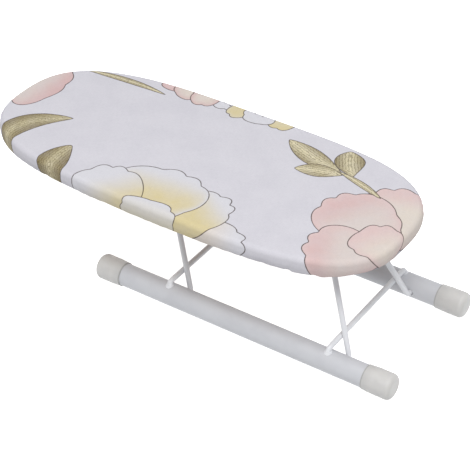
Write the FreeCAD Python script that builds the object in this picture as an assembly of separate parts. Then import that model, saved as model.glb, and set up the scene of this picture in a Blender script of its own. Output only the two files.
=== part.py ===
"""Mini folding tabletop ironing board: one STEP file per piece.

Millimetres. +Z is up and z = 0 is the table. +X runs along the board, away from the nose.
-Y is the front. The origin is the middle of the bounding box at table height.
"""

import FreeCAD
import Part
import math
import os

V = FreeCAD.Vector

# Base: two tubes along X that carry everything
RAIL_Y = 77.0
RAIL_R = 12.5
RAIL_WALL = 1.2
RAIL_LENGTH = 351.0
BASE_X = 80.3

# End caps, which are the feet
CAP_R = 14.0
CAP_MOUTH_R = 13.3
CAP_FLARE = 11.0
CAP_LENGTH = 32.0
CAP_DEPTH = 26.8
CAP_EDGE_R = 5.5
CAP_FIT = 0.02

# Wire work
WIRE_R = 3.0
FOOT_X = (5.2, 199.7)
FOOT_HOLE_R = 3.7
FOOT_CORNER_Y = 60.6
FOOT_END_Y = 76.5
FOOT_BEND_R = 4.5
LEAN = 0.46
BRIDGE_CORNER_Y = 27.0
BRIDGE_BEND_R = 6.0
BRACE_SETBACK = 14.6
BRACE_Z = 30.5
BRACE_PEG_Y = 78.0
BRACE_PEG_Z = 19.0
BRACE_BEND_R = 4.5
BRACE_FIT = 0.03
BEAD_R = 4.9
BEAD_HEIGHT = 2.6
CLIP_R = 6.0
CLIP_THICKNESS = 0.7
CLIP_Y = 70.0

# Padded top: the cover's outside size, then the layers inside it
BOARD_X = -18.5
BOARD_LENGTH = 485.0
BOARD_WIDTH = 210.5
BOARD_TAPER = 0.017
END_POWER = 3.49
SIDE_POWER = 2.89
OUTLINE_POINTS = 64
TOP_Z = 140.4
COVER = 1.0
COVER_TOP_EDGE_R = 5.0
COVER_FOOT_EDGE_R = 0.8
HEM_WIDTH = 20.0
PANEL = 6.0
FOAM = 6.0
FELT = 2.0
LAYER_GAP = 0.05
ELASTIC_R = 1.5

# Saddles and their screws, under the panel
SADDLE_SHEET = 1.5
SADDLE_WIDTH = 12.0
SADDLE_Y = 13.0
SADDLE_HALF_LENGTH = 15.0
SADDLE_CORNER_R = 2.5
RUNNING_FIT = 0.06
OPEN_FIT = 0.3
WIRE_TO_PANEL = 0.3
SCREW_X = 10.0
SCREW_R = 1.7
SCREW_HOLE_R = 1.75
SCREW_HEAD_R = 3.4
SCREW_HEAD = 2.0
SCREW_DEPTH = 4.6
SLOT_WIDTH = 0.9
SLOT_LENGTH = 4.0
SLOT_DEPTH = 0.9

# Heights that follow from the sizes above
RAIL_Z = CAP_R
FELT_Z = TOP_Z - COVER - FELT
FOAM_Z = FELT_Z - FOAM
PANEL_Z = FOAM_Z - PANEL
HEM_Z = PANEL_Z - COVER
BRIDGE_Z = PANEL_Z - WIRE_TO_PANEL - WIRE_R
LEG_HEIGHT = BRIDGE_Z - RAIL_Z
BRIDGE_SHIFT = LEAN * LEG_HEIGHT

X_AXIS = V(1, 0, 0)
Y_AXIS = V(0, 1, 0)
Z_AXIS = V(0, 0, 1)


def cylinder(radius, start, axis, length):
    """A cylinder from start, along axis."""
    return Part.makeCylinder(radius, length, start, axis)


def box(low, high):
    """A box between two corners."""
    size = high - low
    return Part.makeBox(size.x, size.y, size.z, low)


def revolved(points, base, axis):
    """A closed profile turned once about an axis."""
    face = Part.Face(Part.makePolygon(points + [points[0]]))
    return face.revolve(base, axis, 360)


def rounded_path(points, radius):
    """A wire through the points, each inner corner rounded with an arc."""
    edges = []
    here = points[0]
    for before, corner, after in zip(points, points[1:], points[2:]):
        back = (before - corner).normalize()
        ahead = (after - corner).normalize()
        half = back.getAngle(ahead) / 2
        reach = radius / math.tan(half)
        middle = (back + ahead).normalize()
        start = corner + back * reach
        end = corner + ahead * reach
        crown = corner + middle * (radius / math.sin(half) - radius)
        edges.append(Part.makeLine(here, start))
        edges.append(Part.Arc(start, crown, end).toShape())
        here = end
    edges.append(Part.makeLine(here, points[-1]))
    return Part.Wire(edges)


def bent_rod(points, bend_radius, radius):
    """A round rod bent along the points."""
    path = rounded_path(points, bend_radius)
    along = (points[1] - points[0]).normalize()
    section = Part.Wire(Part.makeCircle(radius, points[0], along))
    return path.makePipeShell([section], True, True)


def outline(inset):
    """The board's closed outline, set in from the cover's outside by inset."""
    half_length = BOARD_LENGTH / 2 - inset
    half_width = BOARD_WIDTH / 2 - inset
    points = []
    for k in range(OUTLINE_POINTS):
        turn = 2 * math.pi * (k + 0.5) / OUTLINE_POINTS
        c = math.cos(turn)
        s = math.sin(turn)
        x = math.copysign(abs(c) ** (2 / END_POWER), c)
        y = math.copysign(abs(s) ** (2 / SIDE_POWER), s)
        points.append(V(BOARD_X + half_length * x, half_width * y * (1 + BOARD_TAPER * x), 0))
    curve = Part.BSplineCurve()
    curve.interpolate(points, PeriodicFlag=True)
    return curve.toShape()


def board_block(inset, low, high):
    """The board's outline as a straight-sided block between two heights."""
    face = Part.Face(Part.Wire(outline(inset)))
    face.translate(V(0, 0, low))
    return face.extrude(V(0, 0, high - low))


def edges_at(shape, height):
    """The edges that lie flat at a height."""
    found = []
    for edge in shape.Edges:
        bounds = edge.BoundBox
        if abs(bounds.ZMin - height) < 1e-4 and abs(bounds.ZMax - height) < 1e-4:
            found.append(edge)
    return found


def softened_block(inset, low, high, top_radius):
    """A board block with its top edge rounded."""
    block = board_block(inset, low, high)
    return block.makeFillet(top_radius, edges_at(block, high))


def rail(side):
    """A base tube with holes for two feet and two brace ends. side is -1 at the front, 1 at the rear."""
    start = V(BASE_X - RAIL_LENGTH / 2, side * RAIL_Y, RAIL_Z)
    tube = cylinder(RAIL_R, start, X_AXIS, RAIL_LENGTH)
    tube = tube.cut(cylinder(RAIL_R - RAIL_WALL, start, X_AXIS, RAIL_LENGTH))
    for foot_x in FOOT_X:
        inner = V(foot_x, side * (RAIL_Y - 2 * RAIL_R), RAIL_Z)
        tube = tube.cut(cylinder(FOOT_HOLE_R, inner, V(0, side, 0), 1.6 * RAIL_R))
        peg = V(foot_x - BRACE_SETBACK, side * BRACE_PEG_Y, RAIL_Z)
        tube = tube.cut(cylinder(WIRE_R + BRACE_FIT, peg, Z_AXIS, 2 * RAIL_R))
    return tube


def cap(side, end):
    """A push-on end cap that flares from its mouth and is rounded at its closed end."""
    bore = RAIL_R + CAP_FIT
    profile = [
        V(0, 0, bore),
        V(0, 0, CAP_MOUTH_R),
        V(CAP_FLARE, 0, CAP_R),
        V(CAP_LENGTH, 0, CAP_R),
        V(CAP_LENGTH, 0, 0),
        V(CAP_DEPTH, 0, 0),
        V(CAP_DEPTH, 0, bore),
    ]
    solid = revolved(profile, V(0, 0, 0), X_AXIS)
    rims = [e for e in solid.Edges if is_rim(e, CAP_LENGTH, CAP_R)]
    solid = solid.makeFillet(CAP_EDGE_R, rims)
    if end < 0:
        solid = solid.mirror(V(0, 0, 0), X_AXIS)
    mouth_x = BASE_X + end * (RAIL_LENGTH / 2 - CAP_DEPTH)
    solid.translate(V(mouth_x, side * RAIL_Y, RAIL_Z))
    return solid


def is_rim(edge, x, radius):
    """True for a circular edge about X at one place and of one radius."""
    if not isinstance(edge.Curve, Part.Circle):
        return False
    return abs(edge.Curve.Center.x - x) < 1e-4 and abs(edge.Curve.Radius - radius) < 1e-4


def brace(foot_x):
    """A brace wire across the rails, its ends bent down into them."""
    x = foot_x - BRACE_SETBACK
    points = [
        V(x, -BRACE_PEG_Y, BRACE_PEG_Z),
        V(x, -BRACE_PEG_Y, BRACE_Z),
        V(x, BRACE_PEG_Y, BRACE_Z),
        V(x, BRACE_PEG_Y, BRACE_PEG_Z),
    ]
    return bent_rod(points, BRACE_BEND_R, WIRE_R)


def weld_beads():
    """A small cone of weld round each brace end, on top of the rail."""
    top = RAIL_Z + RAIL_R
    beads = []
    for foot_x in FOOT_X:
        for side in (-1, 1):
            centre = V(foot_x - BRACE_SETBACK, side * BRACE_PEG_Y, 0)
            low = centre + V(0, 0, top - 1.4)
            bead = Part.makeCone(BEAD_R, WIRE_R + 0.5, BEAD_HEIGHT, low, Z_AXIS)
            start = V(centre.x - 10, side * RAIL_Y, RAIL_Z)
            bead = bead.cut(cylinder(RAIL_R, start, X_AXIS, 20))
            bead = bead.cut(brace(foot_x))
            beads.append(bead.Solids[0])
    return Part.makeCompound(beads)


def leg_frame(foot_x):
    """A leaning U of wire: foot, leg, bridge, leg, foot."""
    bridge_x = foot_x - BRIDGE_SHIFT
    front_foot = V(foot_x, -FOOT_CORNER_Y, RAIL_Z)
    front_top = V(bridge_x, -BRIDGE_CORNER_Y, BRIDGE_Z)
    rear_top = V(bridge_x, BRIDGE_CORNER_Y, BRIDGE_Z)
    rear_foot = V(foot_x, FOOT_CORNER_Y, RAIL_Z)
    middle_front = (front_foot + front_top) * 0.5
    middle_rear = (rear_foot + rear_top) * 0.5
    middle = (front_top + rear_top) * 0.5
    front_end = V(foot_x, -FOOT_END_Y, RAIL_Z)
    rear_end = V(foot_x, FOOT_END_Y, RAIL_Z)
    spans = [
        ([front_end, front_foot, middle_front], FOOT_BEND_R),
        ([middle_front, front_top, middle], BRIDGE_BEND_R),
        ([middle, rear_top, middle_rear], BRIDGE_BEND_R),
        ([middle_rear, rear_foot, rear_end], FOOT_BEND_R),
    ]
    pieces = [bent_rod(points, bend, WIRE_R) for points, bend in spans]
    return pieces[0].multiFuse(pieces[1:]).removeSplitter()


def foot_clips(foot_x):
    """A push-on retaining clip on each foot of one leg frame, inside the rails."""
    clips = []
    for side in (-1, 1):
        start = V(foot_x, side * CLIP_Y, RAIL_Z)
        disc = cylinder(CLIP_R, start, V(0, side, 0), CLIP_THICKNESS)
        collar = cylinder(WIRE_R + 0.8, start, V(0, side, 0), 2.5 * CLIP_THICKNESS)
        clip = disc.fuse(collar)
        clip = clip.cut(cylinder(WIRE_R + 0.02, start - V(0, side, 0), V(0, side, 0), 6))
        clips.append(clip.removeSplitter())
    return Part.makeCompound(clips)


def screw_places():
    """Where each saddle screw enters the panel."""
    places = []
    for foot_x in FOOT_X:
        for along in (-SCREW_X, SCREW_X):
            for side in (-1, 1):
                places.append(V(foot_x - BRIDGE_SHIFT + along, side * SADDLE_Y, PANEL_Z))
    return places


def panel():
    """The stiff board, with a pilot hole for each screw."""
    board = board_block(COVER + LAYER_GAP, PANEL_Z, PANEL_Z + PANEL)
    for place in screw_places():
        board = board.cut(cylinder(SCREW_HOLE_R, place, Z_AXIS, SCREW_DEPTH + 0.2))
    return board


def padding(low, high):
    """One layer of the padding: the part of the softened block between two heights."""
    top = TOP_Z - COVER
    block = softened_block(COVER + LAYER_GAP, FOAM_Z, top, COVER_TOP_EDGE_R - COVER)
    slab = box(V(-400, -200, low), V(400, 200, high))
    return block.common(slab)


def cover():
    """The fitted cover: a skin over the padding that wraps under the panel as a hem."""
    outer = board_block(0, HEM_Z, TOP_Z)
    outer = outer.makeFillet(COVER_TOP_EDGE_R, edges_at(outer, TOP_Z))
    outer = outer.makeFillet(COVER_FOOT_EDGE_R, edges_at(outer, HEM_Z))
    inner = softened_block(COVER, PANEL_Z, TOP_Z - COVER, COVER_TOP_EDGE_R - COVER)
    mouth = board_block(HEM_WIDTH, HEM_Z - 1, PANEL_Z + 1)
    return outer.cut(inner).cut(mouth)


def elastic():
    """The cord that draws the hem in, lying against the panel just inside the hem."""
    loop = outline(HEM_WIDTH + ELASTIC_R + LAYER_GAP)
    loop.translate(V(0, 0, PANEL_Z - ELASTIC_R - LAYER_GAP))
    start = loop.valueAt(loop.FirstParameter)
    along = loop.tangentAt(loop.FirstParameter)
    section = Part.Wire(Part.makeCircle(ELASTIC_R, start, along))
    return Part.Wire(loop).makePipeShell([section], True, False)


def saddle(foot_x, side, fit):
    """A pressed strap with a groove for the bridge wire and a flange on each side."""
    x = foot_x - BRIDGE_SHIFT
    low_y = side * SADDLE_Y - SADDLE_WIDTH / 2
    high_y = low_y + SADDLE_WIDTH
    groove = WIRE_R + fit
    shell = groove + SADDLE_SHEET
    start = V(x, low_y, BRIDGE_Z)
    strap = cylinder(shell, start, Y_AXIS, SADDLE_WIDTH)
    strap = strap.fuse(box(V(x - shell, low_y, BRIDGE_Z), V(x + shell, high_y, PANEL_Z)))
    flange = box(
        V(x - SADDLE_HALF_LENGTH, low_y, PANEL_Z - SADDLE_SHEET),
        V(x + SADDLE_HALF_LENGTH, high_y, PANEL_Z),
    )
    corners = [e for e in flange.Edges if abs(e.tangentAt(e.FirstParameter).z) > 0.9]
    strap = strap.fuse(flange.makeFillet(SADDLE_CORNER_R, corners))
    strap = strap.common(box(V(x - 50, low_y, 0), V(x + 50, high_y, PANEL_Z)))
    strap = strap.cut(cylinder(groove, start, Y_AXIS, SADDLE_WIDTH))
    strap = strap.cut(box(V(x - groove, low_y, BRIDGE_Z), V(x + groove, high_y, PANEL_Z)))
    for along in (-SCREW_X, SCREW_X):
        hole = V(x + along, side * SADDLE_Y, PANEL_Z - 2 * SADDLE_SHEET)
        strap = strap.cut(cylinder(SCREW_HOLE_R, hole, Z_AXIS, 3 * SADDLE_SHEET))
    return strap.removeSplitter()


def screw(place):
    """A pan-head screw driven up through a saddle flange into the panel."""
    head_top = place.z - SADDLE_SHEET - 0.02
    head_low = head_top - SCREW_HEAD
    head = cylinder(SCREW_HEAD_R, V(place.x, place.y, head_low), Z_AXIS, SCREW_HEAD)
    head = head.makeFillet(SCREW_HEAD * 0.7, edges_at(head, head_low))
    reach = SCREW_DEPTH + place.z - head_top
    shank = cylinder(SCREW_R, V(place.x, place.y, head_top), Z_AXIS, reach)
    solid = head.fuse(shank)
    for long_x, long_y in ((SLOT_LENGTH, SLOT_WIDTH), (SLOT_WIDTH, SLOT_LENGTH)):
        low = V(place.x - long_x / 2, place.y - long_y / 2, head_low - 1)
        high = V(place.x + long_x / 2, place.y + long_y / 2, head_low + SLOT_DEPTH)
        solid = solid.cut(box(low, high))
    return solid.removeSplitter()


def build():
    """Every piece of the ironing board, by node name."""
    left_x, right_x = FOOT_X
    return {
        "front_rail": rail(-1),
        "rear_rail": rail(1),
        "front_left_cap": cap(-1, -1),
        "front_right_cap": cap(-1, 1),
        "rear_left_cap": cap(1, -1),
        "rear_right_cap": cap(1, 1),
        "left_brace": brace(left_x),
        "right_brace": brace(right_x),
        "brace_welds": weld_beads(),
        "left_leg_frame": leg_frame(left_x),
        "right_leg_frame": leg_frame(right_x),
        "left_foot_clips": foot_clips(left_x),
        "right_foot_clips": foot_clips(right_x),
        "board_panel": panel(),
        "foam_pad": padding(FOAM_Z, FELT_Z),
        "felt_layer": padding(FELT_Z, TOP_Z - COVER),
        "cotton_cover": cover(),
        "hem_elastic": elastic(),
        "left_front_saddle": saddle(left_x, -1, OPEN_FIT),
        "left_rear_saddle": saddle(left_x, 1, OPEN_FIT),
        "right_front_saddle": saddle(right_x, -1, RUNNING_FIT),
        "right_rear_saddle": saddle(right_x, 1, RUNNING_FIT),
        "saddle_screws": Part.makeCompound([screw(place) for place in screw_places()]),
    }


os.makedirs("parts", exist_ok=True)
for node, shape in build().items():
    shape.exportStep("parts/" + node + ".step")
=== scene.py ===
"""Looks of the mini folding tabletop ironing board.

Metres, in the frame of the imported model: +Z up, +X along the board away from the nose, -Y the front.
The print on the cover is drawn in millimetres, as the cloth lies flat on the board.
"""
import logging
import math
from dataclasses import dataclass, field
from enum import Enum

import bpy
import numpy as np
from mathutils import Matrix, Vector


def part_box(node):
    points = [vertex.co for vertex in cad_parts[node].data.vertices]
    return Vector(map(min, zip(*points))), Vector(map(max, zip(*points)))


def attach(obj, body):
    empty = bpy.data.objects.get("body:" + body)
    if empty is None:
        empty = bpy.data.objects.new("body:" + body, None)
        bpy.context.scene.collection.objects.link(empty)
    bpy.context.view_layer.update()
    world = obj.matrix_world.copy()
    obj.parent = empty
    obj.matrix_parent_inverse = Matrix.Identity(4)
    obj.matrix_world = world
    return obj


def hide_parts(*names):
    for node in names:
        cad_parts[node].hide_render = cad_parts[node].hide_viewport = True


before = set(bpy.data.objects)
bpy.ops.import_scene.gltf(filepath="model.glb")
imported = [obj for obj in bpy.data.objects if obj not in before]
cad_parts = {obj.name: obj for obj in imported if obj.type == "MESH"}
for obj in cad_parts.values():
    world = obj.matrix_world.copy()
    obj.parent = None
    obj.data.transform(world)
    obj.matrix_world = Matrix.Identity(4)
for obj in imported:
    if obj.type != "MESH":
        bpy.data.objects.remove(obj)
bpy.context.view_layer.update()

LOG = logging.getLogger("ironing_board")
MM = 0.001
# Where the sewn cover stands off the plain oblong: (x, y, spread, push outwards), all in millimetres.
CLOTH_EASES = ((-120, 100, 110, 1.7), (60, 106, 110, 1.3), (150, 98, 40, 1.0), (217, 66, 26, -1.2),
               (-258, 0, 50, 2.2), (-236, -72, 30, -1.2))

Array = np.ndarray
Colour = tuple[float, float, float]
Place = tuple[float, float]
Socket = bpy.types.NodeSocket


def dye(red: int, green: int, blue: int) -> Colour:
    """A display colour, 0 to 255 a channel, as the linear colour that a shader mixes.

    Args:
        red: The red channel.
        green: The green channel.
        blue: The blue channel.

    Returns:
        The linear colour.
    """
    shown = np.array([red, green, blue]) / 255.0
    linear = np.where(shown <= 0.04045, shown / 12.92, ((shown + 0.055) / 1.055) ** 2.4)
    return tuple(float(channel) for channel in linear)


WIRE_PAINT = (dye(235, 236, 239), dye(224, 225, 229))


class Body(Enum):
    """The rigid bodies that pieces ride on."""

    BASE = "base"
    LEFT_LEG = "left_leg"
    RIGHT_LEG = "right_leg"
    BOARD = "board"


class Family(Enum):
    """What a printed motif is, which picks how its fill is worked."""

    PETAL = "petal"
    LEAF = "leaf"


# ---------------------------------------------------------------------------
# Shader graphs
# ---------------------------------------------------------------------------


class Graph:
    """A node material under construction."""

    def __init__(self, name: str) -> None:
        """Start an empty material.

        Args:
            name: The material's name.
        """
        self.material = bpy.data.materials.new(name)
        self.material.use_nodes = True
        self.tree = self.material.node_tree
        self.tree.nodes.clear()

    def node(self, kind: str, inputs: dict, **settings: object) -> bpy.types.Node:
        """Add a node.

        Args:
            kind: The node type without its "ShaderNode" prefix.
            inputs: Input name or number to a socket, number or colour.
            settings: Attributes of the node itself.

        Returns:
            The new node.
        """
        made = self.tree.nodes.new("ShaderNode" + kind)
        for name, value in settings.items():
            setattr(made, name, value)
        for key, value in inputs.items():
            into = made.inputs[key]
            if isinstance(value, Socket):
                self.tree.links.new(value, into)
            elif isinstance(value, tuple) and len(value) == 3 and into.type == "RGBA":
                into.default_value = (*value, 1.0)
            else:
                into.default_value = value
        return made

    def place(self) -> Socket:
        """The point on the piece, in its own coordinates."""
        return self.node("TexCoord", {}).outputs["Object"]

    def read(self, name: str, kind: str = "Fac") -> Socket:
        """A value stored on the mesh's points."""
        return self.node("Attribute", {}, attribute_name=name).outputs[kind]

    def maths(self, operation: str, a: object, b: object = 0.0, c: object = 0.0) -> Socket:
        """One Math node's result."""
        return self.node("Math", {0: a, 1: b, 2: c}, operation=operation).outputs[0]

    def ramp(self, value: object, low: float, high: float, start: float = 0.0, end: float = 1.0) -> Socket:
        """A smooth step of value from low to high, giving start to end."""
        inputs = {"Value": value, "From Min": low, "From Max": high, "To Min": start, "To Max": end}
        return self.node("MapRange", inputs, interpolation_type="SMOOTHSTEP").outputs[0]

    def blend(self, share: object, under: object, over: object, mode: str = "MIX") -> Socket:
        """Two colours mixed by share."""
        inputs = {0: share, 6: under, 7: over}
        return self.node("Mix", inputs, data_type="RGBA", blend_type=mode).outputs[2]

    def noise(self, where: Socket, scale: float, detail: float = 2.0, rough: float = 0.5) -> Socket:
        """Cloudy noise from 0 to 1; scale is in waves per metre."""
        inputs = {"Vector": where, "Scale": scale, "Detail": detail, "Roughness": rough}
        return self.node("TexNoise", inputs).outputs["Fac"]

    def stretch(self, where: Socket, by: tuple[float, float, float]) -> Socket:
        """Coordinates stretched along each axis."""
        return self.node("VectorMath", {0: where, 1: by}, operation="MULTIPLY").outputs[0]

    def bump(self, height: Socket, strength: float, depth: float, normal: Socket | None = None) -> Socket:
        """A bumped normal; depth is in metres.

        Args:
            height: The height to bump by.
            strength: How much of the bump shows, 0 to 1.
            depth: How deep a height of 1 is.
            normal: A normal to start from, if there is one.

        Returns:
            The bumped normal.
        """
        inputs = {"Height": height, "Strength": strength, "Distance": depth}
        if normal is not None:
            inputs["Normal"] = normal
        return self.node("Bump", inputs).outputs[0]

    def close(self, base: object, rough: object, normal: Socket | None, **constants: object) -> bpy.types.Material:
        """Finish with one Principled surface.

        Args:
            base: The base colour.
            rough: The roughness.
            normal: The bumped normal, if any.
            constants: Other Principled inputs by name, with _ for a space.

        Returns:
            The material.
        """
        inputs = {"Base Color": base, "Roughness": rough}
        if normal is not None:
            inputs["Normal"] = normal
        inputs.update({name.replace("_", " "): value for name, value in constants.items()})
        surface = self.node("BsdfPrincipled", inputs)
        self.node("OutputMaterial", {"Surface": surface.outputs[0]})
        return self.material


# ---------------------------------------------------------------------------
# Finishes
# ---------------------------------------------------------------------------


@dataclass(frozen=True)
class PowderCoat:
    """Satin powder coat: a fine orange peel, faint clouding and small dull scuffs."""

    name: str
    colour: Colour
    shade: Colour
    roughness: float = 0.36
    peel: float = 1500.0
    scuffed: Colour = dye(150, 150, 152)

    def material(self) -> bpy.types.Material:
        """The coat as a node material.

        Returns:
            The material.
        """
        g = Graph(self.name)
        where = g.place()
        cloud = g.noise(where, 38.0, 3.0, 0.55)
        speck = g.noise(where, 900.0, 2.0, 0.6)
        scuff = g.ramp(g.noise(g.stretch(where, (0.35, 1.0, 1.0)), 260.0, 4.0, 0.7), 0.64, 0.78)
        base = g.blend(g.ramp(cloud, 0.35, 0.75, 0.0, 0.55), self.colour, self.shade)
        base = g.blend(g.ramp(speck, 0.62, 0.8, 0.0, 0.12), base, self.shade)
        base = g.blend(g.maths("MULTIPLY", scuff, 0.18), base, self.scuffed)
        rough = g.maths("MULTIPLY_ADD", cloud, 0.12, self.roughness - 0.05)
        rough = g.maths("MULTIPLY_ADD", scuff, 0.16, rough)
        peel = g.noise(where, self.peel, 1.5, 0.5)
        normal = g.bump(peel, 0.16, 0.0002)
        normal = g.bump(g.noise(where, 210.0, 2.0), 0.08, 0.0006, normal)
        return g.close(base, rough, normal, Specular_IOR_Level=0.5)


@dataclass(frozen=True)
class MilkyPlastic:
    """Translucent moulded plastic with a cloudy body, faint turning marks, a painted shade line at the mouth and
    painted shade over the tube inside.
    """

    name: str
    colour: Colour
    deep: Colour
    axis_y: float
    axis_z: float
    mouth_x: float
    wisp: Colour = dye(230, 230, 228)
    painted_seam_shade: Colour = dye(150, 149, 146)
    tube_shade_through: Colour = dye(186, 186, 184)

    def material(self) -> bpy.types.Material:
        """The plastic as a node material; the rings run round the cap's own axis.

        Returns:
            The material.
        """
        g = Graph(self.name)
        where = g.place()
        centred = g.node("Mapping", {"Vector": where, "Location": (0.0, -self.axis_y, -self.axis_z)}).outputs[0]
        cloud = g.noise(where, 70.0, 3.0, 0.5)
        wisps = g.noise(g.stretch(centred, (0.5, 1.0, 1.0)), 420.0, 3.0, 0.6)
        base = g.blend(g.ramp(cloud, 0.3, 0.75, 0.0, 0.4), self.colour, self.deep)
        base = g.blend(g.ramp(wisps, 0.55, 0.75, 0.0, 0.12), base, self.wisp)
        along = g.node("SeparateXYZ", {0: where}).outputs[0]
        off_mouth = g.maths("ABSOLUTE", g.maths("SUBTRACT", along, self.mouth_x))
        # A thin painted shade line round the mouth, standing in for the shadow of the cap's step onto the tube.
        seam_shade_band = g.maths("ADD", off_mouth, g.maths("MULTIPLY", g.noise(where, 400.0, 2.0), 0.0008))
        base = g.blend(g.ramp(seam_shade_band, 0.0008, 0.0022, 0.75, 0.0), base, self.painted_seam_shade)
        # Painted shade over the tube inside the cap: darkest at the mouth, gone 12 mm away.
        base = g.blend(g.ramp(off_mouth, 0.002, 0.012, 0.3, 0.0), base, self.tube_shade_through)
        rings = g.node("TexWave", {"Vector": centred, "Scale": 260.0, "Distortion": 1.2, "Detail": 1.0},
                       wave_type="BANDS", bands_direction="X").outputs["Fac"]
        rough = g.maths("MULTIPLY_ADD", cloud, 0.16, 0.34)
        normal = g.bump(rings, 0.05, 0.0002)
        normal = g.bump(g.noise(where, 700.0, 2.0), 0.12, 0.0002, normal)
        return g.close(base, rough, normal, Subsurface_Weight=0.35, Subsurface_Radius=(0.9, 0.9, 0.8),
                       Subsurface_Scale=0.004, Specular_IOR_Level=0.5)


@dataclass(frozen=True)
class PlatedSteel:
    """Plated or phosphated sheet steel: rolling grain, dulled patches and fine scratches."""

    name: str
    colour: Colour
    dull: Colour
    roughness: float = 0.34

    def material(self) -> bpy.types.Material:
        """The metal as a node material.

        Returns:
            The material.
        """
        g = Graph(self.name)
        where = g.place()
        grain = g.noise(g.stretch(where, (1.0, 14.0, 14.0)), 260.0, 3.0, 0.6)
        patch = g.noise(where, 190.0, 4.0, 0.6)
        base = g.blend(g.ramp(patch, 0.4, 0.7), self.colour, self.dull)
        base = g.blend(g.ramp(grain, 0.55, 0.75, 0.0, 0.3), base, self.dull)
        rough = g.maths("MULTIPLY_ADD", patch, 0.22, self.roughness - 0.1)
        normal = g.bump(grain, 0.12, 0.0002)
        return g.close(base, rough, normal, Metallic=1.0)


@dataclass(frozen=True)
class Fibreboard:
    """Smooth pressed fibreboard: short matted fibres in two browns."""

    name: str = "pressed_fibreboard"
    brown: Colour = dye(122, 88, 58)
    pale: Colour = dye(176, 140, 100)
    dark: Colour = dye(94, 66, 44)
    clouded: Colour = dye(150, 116, 82)

    def material(self) -> bpy.types.Material:
        """The board as a node material.

        Returns:
            The material.
        """
        g = Graph(self.name)
        where = g.place()
        fibre = g.noise(g.stretch(where, (1.0, 3.5, 1.0)), 900.0, 4.0, 0.7)
        cross = g.noise(g.stretch(where, (3.5, 1.0, 1.0)), 800.0, 4.0, 0.7)
        cloud = g.noise(where, 30.0, 3.0)
        base = g.blend(g.ramp(fibre, 0.35, 0.7), self.brown, self.pale)
        base = g.blend(g.ramp(cross, 0.55, 0.75, 0.0, 0.6), base, self.dark)
        base = g.blend(g.ramp(cloud, 0.3, 0.7, 0.0, 0.35), base, self.clouded)
        rough = g.maths("MULTIPLY_ADD", fibre, 0.2, 0.55)
        normal = g.bump(g.maths("ADD", fibre, cross), 0.25, 0.0003)
        return g.close(base, rough, normal)


@dataclass(frozen=True)
class Padding:
    """Soft padding: open foam cells or matted felt, by the scale of its cells."""

    name: str
    colour: Colour
    shade: Colour
    cells: float

    def material(self) -> bpy.types.Material:
        """The padding as a node material.

        Returns:
            The material.
        """
        g = Graph(self.name)
        where = g.place()
        cell = g.node("TexVoronoi", {"Vector": where, "Scale": self.cells}).outputs["Distance"]
        fuzz = g.noise(where, self.cells * 0.35, 4.0, 0.7)
        base = g.blend(g.ramp(cell, 0.15, 0.6), self.shade, self.colour)
        base = g.blend(g.ramp(fuzz, 0.4, 0.7, 0.0, 0.4), base, self.shade)
        rough = g.maths("MULTIPLY_ADD", fuzz, 0.1, 0.85)
        normal = g.bump(g.maths("ADD", cell, fuzz), 0.5, 0.0005)
        return g.close(base, rough, normal, Sheen_Weight=0.2)


@dataclass(frozen=True)
class Thread:
    """Twisted or braided cotton yarn; it reads the yarn's own run and turn from the UV map."""

    name: str
    colour: Colour
    shade: Colour
    turns: float

    def material(self) -> bpy.types.Material:
        """The yarn as a node material with slanting strands.

        Returns:
            The material.
        """
        g = Graph(self.name)
        run = g.node("UVMap", {}, uv_map="run").outputs[0]
        slant = g.node("TexWave", {"Vector": run, "Scale": self.turns, "Distortion": 0.6, "Detail": 1.0},
                       wave_type="BANDS", bands_direction="DIAGONAL").outputs["Fac"]
        fuzz = g.noise(g.place(), 2600.0, 2.0, 0.6)
        base = g.blend(slant, self.shade, self.colour)
        base = g.blend(g.ramp(fuzz, 0.5, 0.8, 0.0, 0.3), base, self.shade)
        rough = g.maths("MULTIPLY_ADD", fuzz, 0.1, 0.78)
        normal = g.bump(slant, 0.5, 0.0002)
        return g.close(base, rough, normal, Sheen_Weight=0.2)


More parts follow.
